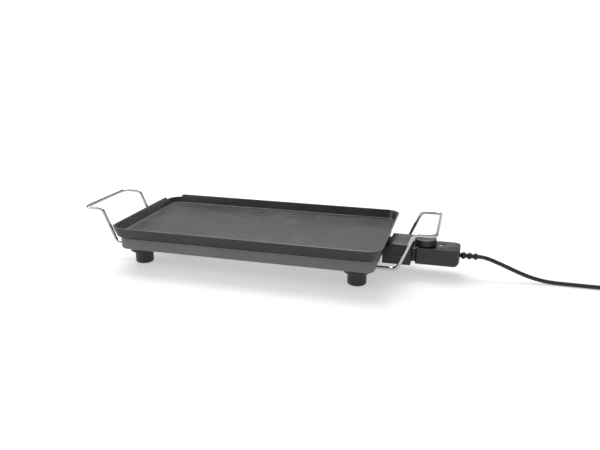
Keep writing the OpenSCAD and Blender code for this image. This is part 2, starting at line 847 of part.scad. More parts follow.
module plug_body() {
    color(rubber_tone) lay_plug() difference() {
        union() {
            rotate_extrude() polygon([
                [0, 0], [plug_neck_r, 0], [plug_neck_r + 1.5, 12], [plug_grip_r, 15],
                [plug_grip_r - 0.5, plug_l - plug_head_l - 4], [plug_d / 2 - 2, plug_l - plug_head_l],
                [plug_d / 2, plug_l - plug_head_l + 2], [plug_d / 2, plug_l], [0, plug_l]
            ]);
        }
        for (s = [-1, 1]) translate([s * (plug_d / 2 - plug_clip_t), 0, plug_l - 8])
            cube([2 * plug_clip_t, plug_clip_w, 16], center = true);
        both_sides(plug_pin_pitch / 2) translate([0, 0, plug_l - plug_root_l])
            cylinder(h = plug_root_l + over, d = plug_root_d);
    }
}

module plug_pins() {
    color(chrome_tone) lay_plug() both_sides(plug_pin_pitch / 2) translate([0, 0, plug_l]) {
        translate([0, 0, -plug_root_l]) cylinder(h = plug_root_l, d = plug_root_d);
        cylinder(h = plug_pin_l - plug_pin_d / 2, d = plug_pin_d);
        translate([0, 0, plug_pin_l - plug_pin_d / 2]) sphere(d = plug_pin_d);
    }
}

module plug_earth_clips() {
    color(steel_tone) lay_plug() for (s = [-1, 1])
        translate([s * (plug_d / 2 - 1.5 * plug_clip_t), 0, plug_l - 8])
            cube([plug_clip_t, plug_clip_w, 16], center = true);
}

// ---- the object ----

placed() griddle_plate();
placed() heating_element();
placed() terminal_pins();
placed() socket_housing();
placed() socket_screws();
placed() base_tray();
placed() handle(-1);  // left_handle
placed() handle(1);  // right_handle
placed() foot_at(-1, -1);  // foot_front_left
placed() foot_at(1, -1);  // foot_front_right
placed() foot_at(-1, 1);  // foot_back_left
placed() foot_at(1, 1);  // foot_back_right
placed() foot_pads();
placed() foot_screws();
placed() spacers();
placed() control_half(-1);  // control_bottom
placed() control_half(1);  // control_top
placed() control_screws();
placed() probe_rod();
placed() contact_sleeves();
placed() switch_block();
placed() neon_lamp();
placed() lamp_window();
placed() strain_relief();
placed() cord_clamp();
placed() dial();
placed() dial_shaft();
cord_lead();
cord_coil();
cord_tie();
cord_tail();
plug_body();
plug_pins();
plug_earth_clips();
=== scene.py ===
"""Looks of the electric table griddle: rounded castings and mouldings, bent wire handles, the dial,
the mains lead, every finish, the studio and the camera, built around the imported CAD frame."""

import json
import math

import bpy
from bpy.props import FloatProperty, FloatVectorProperty, IntProperty, PointerProperty
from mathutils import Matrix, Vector

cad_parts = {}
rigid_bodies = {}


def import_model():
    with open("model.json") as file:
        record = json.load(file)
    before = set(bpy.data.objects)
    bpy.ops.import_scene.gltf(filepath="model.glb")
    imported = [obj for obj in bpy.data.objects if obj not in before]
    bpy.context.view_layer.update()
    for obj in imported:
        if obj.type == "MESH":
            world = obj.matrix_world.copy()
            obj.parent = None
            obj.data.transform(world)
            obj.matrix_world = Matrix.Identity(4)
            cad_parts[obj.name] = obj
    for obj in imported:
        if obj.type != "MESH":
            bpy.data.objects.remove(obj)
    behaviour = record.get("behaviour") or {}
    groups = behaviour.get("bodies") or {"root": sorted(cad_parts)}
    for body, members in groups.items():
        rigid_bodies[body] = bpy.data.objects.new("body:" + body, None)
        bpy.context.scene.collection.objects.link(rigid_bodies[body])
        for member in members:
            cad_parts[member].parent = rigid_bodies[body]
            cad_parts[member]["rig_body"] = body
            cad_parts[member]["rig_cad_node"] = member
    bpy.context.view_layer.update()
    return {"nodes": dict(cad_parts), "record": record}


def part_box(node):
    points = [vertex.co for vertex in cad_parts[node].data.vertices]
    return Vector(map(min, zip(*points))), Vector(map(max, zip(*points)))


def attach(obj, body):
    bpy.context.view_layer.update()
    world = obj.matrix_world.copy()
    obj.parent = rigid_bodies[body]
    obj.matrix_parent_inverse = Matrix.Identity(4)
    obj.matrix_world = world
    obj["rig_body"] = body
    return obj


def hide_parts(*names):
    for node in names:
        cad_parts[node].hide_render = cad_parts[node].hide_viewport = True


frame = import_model()

bl_info = {
    "name": "Electric table griddle",
    "version": (1, 0, 0),
    "blender": (4, 5, 0),
    "location": "3D View > Sidebar > Griddle",
    "description": "Builds the looks of an electric table griddle around its CAD frame",
    "category": "Add Mesh",
}

# The mains lead's route in metres: from inside its sleeve to the coil,
# and from the coil to the plug
LEAD_ROUTE = [
    (0.370, 0, 0.0386), (0.386, 0, 0.0386), (0.392, 0, 0.0382), (0.402, 0, 0.036),
    (0.416, 0, 0.0312), (0.432, 0, 0.025), (0.448, 0, 0.0186), (0.464, 0, 0.0128),
    (0.480, 0, 0.0082), (0.497, 0, 0.005), (0.515, 0, 0.0037), (0.534, 0, 0.0035),
    (0.553, 0, 0.0035), (0.572, 0, 0.0035), (0.591, 0, 0.0036), (0.610, 0, 0.0038),
    (0.628, -0.001, 0.004), (0.645, -0.0026, 0.0042),
]
TAIL_ROUTE = [
    (0.618, 0.027, 0.0114), (0.618, 0.014, 0.0116), (0.618, 0, 0.0123), (0.618, -0.013, 0.0138),
    (0.618, -0.026, 0.0162), (0.618, -0.036, 0.0178), (0.618, -0.044, 0.0185),
    (0.618, -0.056, 0.0185),
]
COIL_CENTRE = Vector((0.660, 0.0385, 0))
# Each turn of the coil: its radius and its height above the table
COIL_TURNS = [(0.042, 0.0043), (0.035, 0.0043), (0.035, 0.0113), (0.042, 0.0113)]
COIL_LENGTH_IN_TURNS = 3.75
COIL_POINTS_A_TURN = 16
# Share of a turn over which the coil steps from one radius and height to the next
COIL_STEP = 0.24
# The lead's sleeve in metres: its neck and beads, and how much they narrow along it
SLEEVE_NECK_R = 0.0040
SLEEVE_NECK_TAPER = 0.0003
SLEEVE_BEAD_R = 0.0065
SLEEVE_BEAD_TAPER = 0.0002
# The pointer's middle and its half length, as a share of the dial's radius
POINTER_SHARE = 0.42
DUST_COLOUR = (0.30, 0.29, 0.28)
# The studio's floor: its polish, and the light that it gives off by itself
FLOOR_ROUGHNESS = 0.22
FLOOR_SPECULAR = 0.35
FLOOR_GLOW = 0.45
# Width of the camera's film in millimetres
FILM_WIDTH = 36


# ---- settings ----

class GriddleSizes(bpy.types.PropertyGroup):
    """Sizes that the looks add to the CAD frame"""
    cast_edge: FloatProperty(
        name="Cast edge", description="Rounding of the plate's edges", default=0.0007,
        unit="LENGTH")
    moulded_edge: FloatProperty(
        name="Moulded edge", description="Rounding of plastic edges", default=0.0009, unit="LENGTH")
    sheet_edge: FloatProperty(
        name="Sheet edge", description="Rounding of the tray's folded edges", default=0.0004,
        unit="LENGTH")
    wire_d: FloatProperty(
        name="Handle wire", description="Diameter of the handle wire", default=0.0064,
        unit="LENGTH")
    knee_out: FloatProperty(
        name="Knee reach", description="From the tray's end to the lower knee", default=0.032,
        unit="LENGTH")
    leg_lean: FloatProperty(
        name="Leg lean", description="Level distance that a leg leans out", default=0.0266,
        unit="LENGTH")
    knee_r: FloatProperty(
        name="Knee bend", description="Bend radius of the knees", default=0.012, unit="LENGTH")
    grip_r: FloatProperty(
        name="Grip bend", description="Bend radius of the grip's corners", default=0.010,
        unit="LENGTH")
    hook_r: FloatProperty(
        name="Hook bend", description="Bend radius of the end in the tray", default=0.004,
        unit="LENGTH")
    hook_rise: FloatProperty(
        name="Hook rise", description="Height of the wire's end over its run", default=0.0114,
        unit="LENGTH")
    dial_flutes: IntProperty(
        name="Dial flutes", description="Finger grooves round the dial", default=18, min=6, max=36)
    flute_depth: FloatProperty(
        name="Flute depth", description="Depth of a finger groove", default=0.0012, unit="LENGTH")
    cord_d: FloatProperty(
        name="Lead", description="Diameter of the mains lead", default=0.007, unit="LENGTH")
    cord_length: FloatProperty(
        name="Lead length", description="Real length of the mains lead", default=1.27,
        unit="LENGTH")


def colour_setting(name, description, default):
    return FloatVectorProperty(
        name=name, description=description, default=default, size=3, min=0, max=1, subtype="COLOR")


class GriddleColours(bpy.types.PropertyGroup):
    """Base colours of the finishes"""
    coating: colour_setting("Non-stick coat", "Black coat of the plate", (0.012, 0.012, 0.0125))
    paint: colour_setting("Tray paint", "Dark grey paint of the tray", (0.125, 0.126, 0.130))
    resin: colour_setting("Resin", "Black moulded resin", (0.012, 0.012, 0.013))
    dial: colour_setting("Dial", "Black of the dial", (0.007, 0.007, 0.0075))
    rubber: colour_setting("Rubber", "Black of lead and plug", (0.010, 0.010, 0.0105))
    chrome: colour_setting("Chrome", "Plated handle wire", (0.47, 0.47, 0.48))
    steel: colour_setting("Steel", "Screws, pins and spacers", (0.52, 0.52, 0.53))
    heater: colour_setting("Heater", "Oxidised heater sheath", (0.20, 0.185, 0.17))
    brass: colour_setting("Brass", "Contacts", (0.66, 0.50, 0.22))
    switch: colour_setting("Switch", "Buff switch body", (0.46, 0.40, 0.30))
    lens: colour_setting("Lens", "Lamp window", (0.80, 0.62, 0.42))
    mark: colour_setting("Mark", "Pointer mark of the dial", (0.70, 0.70, 0.68))
    floor: colour_setting("Floor", "Studio floor", (0.55, 0.55, 0.55))


class GriddleView(bpy.types.PropertyGroup):
    """Camera and studio"""
    azimuth: FloatProperty(
        name="Azimuth", description="Turn of the view to the right", default=math.radians(15.70),
        subtype="ANGLE")
    elevation: FloatProperty(
        name="Elevation", description="Height of the view", default=math.radians(17.47),
        subtype="ANGLE")
    distance: FloatProperty(
        name="Distance", description="Camera to aim point", default=1.1459, unit="LENGTH")
    aim: FloatVectorProperty(
        name="Aim", description="Point that the camera looks at", default=(0.0599, 0, 0.0694),
        size=3, subtype="TRANSLATION")
    lens: FloatProperty(
        name="Lens", description="Focal length in millimetres", default=36.7, min=10)
    softbox_power: FloatProperty(
        name="Softbox", description="Power of the overhead softbox in watts", default=46, min=0)
    strip_power: FloatProperty(
        name="Strip", description="Power of the strip light in watts", default=7, min=0)
    sky: FloatProperty(
        name="Surround", description="Strength of the studio's surround", default=1.0, min=0)


# ---- modelling helpers ----

def select_only(piece):
    bpy.ops.object.select_all(action="DESELECT")
    piece.select_set(True)
    bpy.context.view_layer.objects.active = piece


def settle(piece):
    """Puts a piece's place into its mesh, so that its object stands at the origin."""
    select_only(piece)
    bpy.ops.object.transform_apply(location=True, rotation=True, scale=True)
    return piece


def apply_modifier(piece, kind, **values):
    select_only(piece)
    modifier = piece.modifiers.new(kind.title(), kind)
    for key, value in values.items():
        setattr(modifier, key, value)
    bpy.ops.object.modifier_apply(modifier=modifier.name)


def smooth(piece, angle=math.radians(35)):
    select_only(piece)
    bpy.ops.object.shade_smooth_by_angle(angle=angle)


def dress(piece, body, material):
    """Gives a finished piece its material and the body that it rides on."""
    piece.data.materials.clear()
    piece.data.materials.append(material)
    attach(piece, body)
    return piece


def rounded_copy(node, edge, segments=3):
    """A merged copy of a CAD node with its sharp edges rounded, which stands for that node."""
    original = frame["nodes"][node]
    body = original["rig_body"]
    piece = original.copy()
    piece.data = original.data.copy()
    piece.name = node + "_finished"
    piece.parent = None
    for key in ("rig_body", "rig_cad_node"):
        del piece[key]
    bpy.context.scene.collection.objects.link(piece)
    select_only(piece)
    bpy.ops.mesh.customdata_custom_splitnormals_clear()
    bpy.ops.object.mode_set(mode="EDIT")
    bpy.ops.mesh.select_all(action="SELECT")
    bpy.ops.mesh.remove_doubles(threshold=2e-6)
    bpy.ops.mesh.dissolve_limited(angle_limit=math.radians(0.4))
    bpy.ops.object.mode_set(mode="OBJECT")
    apply_modifier(
        piece, "BEVEL", width=edge, segments=segments, limit_method="ANGLE",
        angle_limit=math.radians(42), use_clamp_overlap=True, harden_normals=False)
    smooth(piece)
    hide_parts(node)
    return piece, body


def turned(name, rings, at, axis="Z", sides=64):
    """A closed turned piece: rings of (radius, distance) along its axis, which starts at a point."""
    bpy.ops.object.select_all(action="DESELECT")
    first_r, first_z = rings[0]
    bpy.ops.mesh.primitive_circle_add(
        vertices=sides, radius=first_r, fill_type="NGON", location=(0, 0, first_z))
    piece = bpy.context.object
    piece.name = name
    bpy.ops.object.mode_set(mode="EDIT")
    bpy.ops.mesh.select_all(action="SELECT")
    for (r_before, z_before), (r_after, z_after) in zip(rings, rings[1:]):
        bpy.ops.mesh.extrude_region_move(
            TRANSFORM_OT_translate={"value": (0, 0, z_after - z_before)})
        scale = r_after / r_before
        bpy.ops.transform.resize(value=(scale, scale, 1), center_override=(0, 0, 0))
    bpy.ops.mesh.select_all(action="SELECT")
    bpy.ops.mesh.normals_make_consistent(inside=False)
    bpy.ops.object.mode_set(mode="OBJECT")
    quarter = math.pi / 2
    turn = {"Z": (0, 0, 0), "X": (0, quarter, 0), "-Y": (quarter, 0, 0)}[axis]
    settle(piece)
    piece.rotation_euler = turn
    piece.location = at
    return settle(piece)


def arc_points(before, corner, after, radius, steps=10):
    """Points of the bend that rounds one corner of a wire."""
    u = (corner - before).normalized()
    v = (after - corner).normalized()
    angle = u.angle(v)
    back = radius * math.tan(angle / 2)
    inward = (v - u * u.dot(v)).normalized()
    centre = corner - u * back + inward * radius
    return [
        centre + radius * (math.sin(angle * k / steps) * u - math.cos(angle * k / steps) * inward)
        for k in range(steps + 1)
    ]


def tube_curve(name, points, diameter, kind="POLY", sides=8):
    """A round tube along points, as a curve of one open spline."""
    curve = bpy.data.curves.new(name, "CURVE")
    curve.dimensions = "3D"
    curve.bevel_depth = diameter / 2
    curve.bevel_resolution = sides
    curve.use_fill_caps = True
    curve.resolution_u = 5
    curve.twist_mode = "MINIMUM"
    spline = curve.splines.new(kind)
    if kind == "POLY":
        spline.points.add(len(points) - 1)
        for place, point in zip(spline.points, points):
            place.co = (*point, 1)
    else:
        spline.bezier_points.add(len(points) - 1)
        for place, point in zip(spline.bezier_points, points):
            place.co = point
            place.handle_left_type = place.handle_right_type = "AUTO"
    spline.use_smooth = True
    piece = bpy.data.objects.new(name, curve)
    bpy.context.scene.collection.objects.link(piece)
    return piece


# ---- shader groups ----

def new_group(name, inputs, outputs):
    tree = bpy.data.node_groups.new(name, "ShaderNodeTree")
    for label, default in inputs:
        tree.interface.new_socket(
            label, in_out="INPUT", socket_type="NodeSocketFloat").default_value = default
    for label in outputs:
        tree.interface.new_socket(label, in_out="OUTPUT", socket_type="NodeSocketFloat")
    return tree, tree.nodes.new("NodeGroupInput"), tree.nodes.new("NodeGroupOutput")


def math_node(tree, operation, first, second=None, clamp=False):
    """A Math node whose inputs are sockets or plain numbers."""
    node = tree.nodes.new("ShaderNodeMath")
    node.operation = operation
    node.use_clamp = clamp
    for socket, value in zip(node.inputs, (first, second)):
        if isinstance(value, bpy.types.NodeSocket):
            tree.links.new(value, socket)
        elif value is not None:
            socket.default_value = value
    return node.outputs[0]


def noise_node(tree, vector, scale, detail=3.0, roughness=0.55):
    node = tree.nodes.new("ShaderNodeTexNoise")
    node.inputs["Detail"].default_value = detail
    node.inputs["Roughness"].default_value = roughness
    tree.links.new(vector, node.inputs["Vector"])
    if isinstance(scale, bpy.types.NodeSocket):
        tree.links.new(scale, node.inputs["Scale"])
    else:
        node.inputs["Scale"].default_value = scale
    return node.outputs["Fac"]


def spread(tree, value, low, high):
    """Stretches the part of a value between low and high to 0 to 1."""
    node = tree.nodes.new("ShaderNodeMapRange")
    node.interpolation_type = "SMOOTHSTEP"
    node.inputs["From Min"].default_value = low
    node.inputs["From Max"].default_value = high
    tree.links.new(value, node.inputs["Value"])
    return node.outputs["Result"]


def grain_group():
    """Fine moulded or sprayed grain: its height, and a slow drift of tone."""
    tree, source, sink = new_group("Surface grain", [("Scale", 2000.0), ("Peel", 0.4)],
                                   ["Height", "Tone"])
    place = tree.nodes.new("ShaderNodeTexCoord").outputs["Object"]
    fine = noise_node(tree, place, source.outputs["Scale"], 2.0, 0.6)
    peel_scale = math_node(tree, "MULTIPLY", source.outputs["Scale"], 0.22)
    peel = noise_node(tree, place, peel_scale, 1.0, 0.4)
    peel_height = math_node(tree, "MULTIPLY", peel, source.outputs["Peel"])
    tree.links.new(math_node(tree, "ADD", fine, peel_height), sink.inputs["Height"])
    drift = noise_node(tree, place, 14.0, 4.0, 0.55)
    fleck = noise_node(tree, place, 420.0, 2.0, 0.6)
    both = math_node(tree, "ADD", math_node(tree, "MULTIPLY", drift, 0.7),
                     math_node(tree, "MULTIPLY", fleck, 0.3))
    tree.links.new(spread(tree, both, 0.36, 0.64), sink.inputs["Tone"])
    return tree


def handling_group():
    """Marks of use: soft smudges, and fine rubbed scratches in two directions."""
    tree, _source, sink = new_group("Handling marks", [], ["Smudge", "Scratch"])
    place = tree.nodes.new("ShaderNodeTexCoord").outputs["Object"]
    smudge = noise_node(tree, place, 24.0, 5.0, 0.62)
    tree.links.new(spread(tree, smudge, 0.38, 0.66), sink.inputs["Smudge"])
    lines = []
    for turn in (0.35, 1.75):
        mapping = tree.nodes.new("ShaderNodeMapping")
        mapping.inputs["Rotation"].default_value = (0, 0, turn)
        mapping.inputs["Scale"].default_value = (22, 1300, 1300)
        tree.links.new(place, mapping.inputs["Vector"])
        line = noise_node(tree, mapping.outputs["Vector"], 1.0, 1.0, 0.5)
        lines.append(spread(tree, line, 0.66, 0.74))
    where = spread(tree, noise_node(tree, place, 11.0, 2.0, 0.5), 0.48, 0.62)
    both = math_node(tree, "MAXIMUM", lines[0], lines[1])
    tree.links.new(math_node(tree, "MULTIPLY", both, where), sink.inputs["Scratch"])
    return tree


def dust_group():
    """Dust that settles where a surface faces up."""
    tree, _source, sink = new_group("Settled dust", [], ["Dust"])
    place = tree.nodes.new("ShaderNodeTexCoord").outputs["Object"]
    normal = tree.nodes.new("ShaderNodeNewGeometry").outputs["Normal"]
    parts = tree.nodes.new("ShaderNodeSeparateXYZ")
    tree.links.new(normal, parts.inputs["Vector"])
    up = spread(tree, parts.outputs["Z"], 0.55, 0.98)
    speck = spread(tree, noise_node(tree, place, 900.0, 2.0, 0.7), 0.50, 0.78)
    cloud = spread(tree, noise_node(tree, place, 9.0, 3.0, 0.5), 0.30, 0.75)
    veil = math_node(tree, "MULTIPLY", speck, cloud)
    tree.links.new(math_node(tree, "MULTIPLY", veil, up), sink.inputs["Dust"])
    return tree


def height_band_group():
    """A mask that is 1 between two heights, broken up unevenly; it places the painted highlight along the
    plate's rim.
    """
    tree, source, sink = new_group("Height band", [("Low", 0.0), ("High", 1.0)], ["Band"])
    place = tree.nodes.new("ShaderNodeTexCoord").outputs["Object"]
    parts = tree.nodes.new("ShaderNodeSeparateXYZ")
    tree.links.new(place, parts.inputs["Vector"])
    above = math_node(tree, "GREATER_THAN", parts.outputs["Z"], source.outputs["Low"])
    below = math_node(tree, "LESS_THAN", parts.outputs["Z"], source.outputs["High"])
    inside = math_node(tree, "MULTIPLY", above, below)
    uneven = spread(tree, noise_node(tree, place, 160.0, 4.0, 0.6), 0.30, 0.60)
    tree.links.new(math_node(tree, "MULTIPLY", inside, uneven), sink.inputs["Band"])
    return tree


GROUPS = {}


def place_group(tree, name, **values):
    node = tree.nodes.new("ShaderNodeGroup")
    node.node_tree = GROUPS[name]
    for key, value in values.items():
        node.inputs[key.title()].default_value = value
    return node.outputs


def colour_sockets(node):
    """The colour sockets A, B and Result of a Mix node, which also has hidden ones of the same name."""
    a = [s for s in node.inputs if s.identifier == "A_Color"][0]
    b = [s for s in node.inputs if s.identifier == "B_Color"][0]
    return a, b, [s for s in node.outputs if s.identifier == "Result_Color"][0]


def mixed(tree, mask, first, second):
    node = tree.nodes.new("ShaderNodeMix")
    node.data_type = "RGBA"
    factor = [s for s in node.inputs if s.identifier == "Factor_Float"][0]
    tree.links.new(mask, factor)
    a, b, result = colour_sockets(node)
    for socket, value in ((a, first), (b, second)):
        if isinstance(value, bpy.types.NodeSocket):
            tree.links.new(value, socket)
        else:
            socket.default_value = (*value, 1)
    return result


def shade(colour, factor):
    return tuple(min(1.0, c * factor) for c in colour)


def finish(name, colour, roughness, grain, bump, metallic=0.0, tone=0.2, smudge=0.10, scratch=0.05,
           dust=0.0,
           peel=0.4, specular=0.5, painted_highlight=None):
    """A finish whose colour, gloss and surface drift from place to place."""
    material = bpy.data.materials.new(name)
    material.use_nodes = True
    tree = material.node_tree
    shader = tree.nodes["Principled BSDF"]
    shader.inputs["Metallic"].default_value = metallic
    shader.inputs["Specular IOR Level"].default_value = specular
    surface = place_group(tree, "grain", scale=grain, peel=peel)
    marks = place_group(tree, "handling")
    colour_now = mixed(tree, surface["Tone"], shade(colour, 1 - tone), shade(colour, 1 + tone))
    gloss = math_node(tree, "MULTIPLY_ADD", marks["Smudge"], smudge)
    gloss.node.inputs[2].default_value = roughness - smudge / 2
    gloss = math_node(tree, "ADD", gloss, math_node(tree, "MULTIPLY", marks["Scratch"], scratch),
                      clamp=True)
    # Painted highlight: between two heights the colour is lightened, for the light that the rim's top
    # catches.
    if painted_highlight:
        band = place_group(tree, "band", low=painted_highlight[0], high=painted_highlight[1])["Band"]
        colour_now = mixed(tree, band, colour_now, painted_highlight[2])
    if dust:
        veil = math_node(tree, "MULTIPLY", place_group(tree, "dust")["Dust"], dust)
        colour_now = mixed(tree, veil, colour_now, DUST_COLOUR)
        gloss = math_node(tree, "ADD", gloss, math_node(tree, "MULTIPLY", veil, 0.5), clamp=True)
    tree.links.new(colour_now, shader.inputs["Base Color"])
    tree.links.new(gloss, shader.inputs["Roughness"])
    relief = tree.nodes.new("ShaderNodeBump")
    relief.inputs["Distance"].default_value = bump
    tree.links.new(surface["Height"], relief.inputs["Height"])
    tree.links.new(relief.outputs["Normal"], shader.inputs["Normal"])
    return material


def woven_finish(name, colour):
    """The looped pile of a hook-and-loop band."""
    material = finish(name, colour, 0.85, 2600.0, 0.00012, tone=0.35, smudge=0.05, peel=1.0)
    material.node_tree.nodes["Principled BSDF"].inputs["Sheen Weight"].default_value = 0.3
    return material


def lens_finish(name, colour):
    """The lamp window: cast resin with a fine grain under a clear face."""
    material = finish(name, colour, 0.16, 1500.0, 0.00002, tone=0.12, smudge=0.06)
    shader = material.node_tree.nodes["Principled BSDF"]
    shader.inputs["Transmission Weight"].default_value = 0.35
    shader.inputs["Coat Weight"].default_value = 0.6
    return material


FINISHES = {}


def make_finishes(colours, rim_z):
    """Every finish by its slot in the record."""
    GROUPS.update(grain=grain_group(), handling=handling_group(), dust=dust_group(),
                  band=height_band_group())
    # Painted highlight: the rim's top band gets a coat colour 3.2 times lighter, for the light that it
    # catches.
    rim_highlight_band = (rim_z - 0.0004, rim_z + 0.001, shade(colours.coating, 3.2))
    FINISHES.update(
        nonstick_cast=finish("Non-stick coat", colours.coating, 0.40, 1500.0, 0.000035, tone=0.30,
                             smudge=0.09, scratch=0.05, dust=0.02, peel=0.8, painted_highlight=rim_highlight_band),
        grey_paint=finish("Tray paint", colours.paint, 0.46, 1100.0, 0.00003, tone=0.07,
                          smudge=0.08, peel=0.9),
        black_resin=finish("Socket resin", colours.resin, 0.42, 2600.0, 0.00003, tone=0.25,
                           dust=0.03),
        control_resin=finish("Control resin", colours.resin, 0.36, 3000.0, 0.00003, tone=0.25,
                             dust=0.02),
        foot_resin=finish("Foot resin", colours.resin, 0.52, 1800.0, 0.00005, tone=0.30),
        dial_resin=finish("Dial resin", colours.dial, 0.28, 2800.0, 0.00002, tone=0.20),
        chrome_wire=finish("Chrome", colours.chrome, 0.07, 900.0, 0.000002, metallic=1.0, tone=0.03,
                           smudge=0.05, scratch=0.12),
        bright_steel=finish("Bright steel", colours.steel, 0.30, 1600.0, 0.00001, metallic=1.0,
                            tone=0.08,
                            scratch=0.2),
        heater_steel=finish("Heater steel", colours.heater, 0.48, 1200.0, 0.00002, metallic=1.0,
                            tone=0.30,
                            smudge=0.2),
        contact_brass=finish("Contact brass", colours.brass, 0.26, 1600.0, 0.00001, metallic=1.0,
                             tone=0.12),
        pin_nickel=finish("Pin nickel", colours.steel, 0.16, 1600.0, 0.000005, metallic=1.0,
                          tone=0.05,
                          scratch=0.25),
        switch_resin=finish("Switch resin", colours.switch, 0.55, 2200.0, 0.00003, tone=0.10),
        pad_rubber=finish("Pad rubber", colours.rubber, 0.75, 1500.0, 0.00006, tone=0.30),
        cord_rubber=finish("Lead rubber", colours.rubber, 0.44, 2200.0, 0.00003, tone=0.25,
                           dust=0.03),
        plug_rubber=finish("Plug rubber", colours.rubber, 0.50, 1800.0, 0.00005, tone=0.25,
                           dust=0.03),
        tie_plastic=woven_finish("Tie pile", shade(colours.rubber, 1.6)),
        lamp_lens=lens_finish("Lamp window", colours.lens),
        lamp_glass=lens_finish("Lamp glass", colours.lens),
        pointer_mark=finish("Pointer paint", colours.mark, 0.45, 1800.0, 0.00001, tone=0.06),
        studio_floor=studio_floor_finish(colours.floor),
    )


def studio_floor_finish(colour):
    """A pale sheet with a faint polish, which mirrors the feet a little."""
    material = bpy.data.materials.new("Studio floor")
    material.use_nodes = True
    shader = material.node_tree.nodes["Principled BSDF"]
    shader.inputs["Base Color"].default_value = (*colour, 1)
    shader.inputs["Roughness"].default_value = FLOOR_ROUGHNESS
    shader.inputs["Specular IOR Level"].default_value = FLOOR_SPECULAR
    shader.inputs["Emission Color"].default_value = (1, 1, 1, 1)
    shader.inputs["Emission Strength"].default_value = FLOOR_GLOW
    return material


# ---- pieces ----

class GRIDDLE_OT_camera(bpy.types.Operator):
    """Place the camera at its viewing angle"""
    bl_idname = "griddle.camera"
    bl_label = "Camera"

    def execute(self, context):
        view = context.scene.griddle_view
        level = math.cos(view.elevation)
        back = Vector((
            math.sin(view.azimuth) * level, -math.cos(view.azimuth) * level,
            math.sin(view.elevation)))
        bpy.ops.object.camera_add(location=Vector(view.aim) + back * view.distance)
        camera = context.object
        camera.rotation_euler = (-back).to_track_quat("-Z", "Y").to_euler()
        camera.data.sensor_width = FILM_WIDTH
        camera.data.lens = view.lens
        context.scene.camera = camera
        return {"FINISHED"}


def coil_points():
    """Turns of the tied coil, which steps inwards, upwards and outwards again between turns."""
    def at_turn(t):
        value = Vector(COIL_TURNS[0])
        for k in range(1, len(COIL_TURNS)):
            step = max(0.0, min(1.0, (t - k) / COIL_STEP + 0.5))
            share = step * step * (3 - 2 * step)
            value += share * (Vector(COIL_TURNS[k]) - Vector(COIL_TURNS[k - 1]))
        return value
    count = round(COIL_LENGTH_IN_TURNS * COIL_POINTS_A_TURN)
    points = []
    for i in range(count + 1):
        t = i / COIL_POINTS_A_TURN
        radius, height = at_turn(t)
        angle = 2 * math.pi * t - math.pi / 2
        points.append(
            COIL_CENTRE + Vector((radius * math.cos(angle), radius * math.sin(angle), height)))
    return points


def sleeve_rings(length, beads=3):
    """Profile of the lead's sleeve: a tapering neck with three beads."""
    pitch = (length - 0.002) / beads
    centres = [(pitch * (k + 0.6), SLEEVE_BEAD_R - SLEEVE_BEAD_TAPER * k) for k in range(beads)]
    rings = [(SLEEVE_NECK_R, -0.003)]
    steps = 66
    for i in range(steps + 1):
        s = length * i / steps
        radius = SLEEVE_NECK_R - SLEEVE_NECK_TAPER * i / steps
        for centre, bead_r in centres:
            share = 1 - ((s - centre) / (0.7 * bead_r)) ** 2
            if share > 0:
                radius = max(radius, bead_r * math.sqrt(share))
        rings.append((radius, s))
    return rings


class GRIDDLE_OT_lead(bpy.types.Operator):
    """Lay the mains lead, with its sleeve, tie and plug"""
    bl_idname = "griddle.lead"
    bl_label = "Mains lead"

    def execute(self, context):
        sizes = context.scene.griddle_sizes
        points = [Vector(p) for p in LEAD_ROUTE] + coil_points() + [Vector(p) for p in TAIL_ROUTE]
        lead = tube_curve("mains_lead", points, sizes.cord_d, kind="BEZIER")
        lead.data.materials.append(FINISHES["cord_rubber"])
        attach(lead, "control")
        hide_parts("cord_lead", "cord_coil", "cord_tail")

        housing_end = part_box("control_top")[1].x
        sleeve_low, sleeve_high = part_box("strain_relief")
        middle_z = (sleeve_low.z + sleeve_high.z) / 2
        sleeve = turned(
            "lead_sleeve", sleeve_rings(sleeve_high.x - housing_end), (housing_end, 0, middle_z),
            axis="X", sides=40)
        smooth(sleeve)
        dress(sleeve, "control", FINISHES["cord_rubber"])
        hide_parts("strain_relief")

        tie, body = rounded_copy("cord_tie", 0.0002, 2)
        dress(tie, body, FINISHES["tie_plastic"])
        plug, body = rounded_copy("plug_body", 0.0008)
        dress(plug, body, FINISHES["plug_rubber"])
        return {"FINISHED"}


class GRIDDLE_OT_plate(bpy.types.Operator):
    """Finish the cast plate"""
    bl_idname = "griddle.plate"
    bl_label = "Cast plate"

    def execute(self, context):
        plate, body = rounded_copy("griddle_plate", context.scene.griddle_sizes.cast_edge)
        dress(plate, body, FINISHES["nonstick_cast"])
        return {"FINISHED"}


class GRIDDLE_OT_tray(bpy.types.Operator):
    """Finish the painted tray"""
    bl_idname = "griddle.tray"
    bl_label = "Tray"

    def execute(self, context):
        tray, body = rounded_copy("base_tray", context.scene.griddle_sizes.sheet_edge, 2)
        dress(tray, body, FINISHES["grey_paint"])
        return {"FINISHED"}


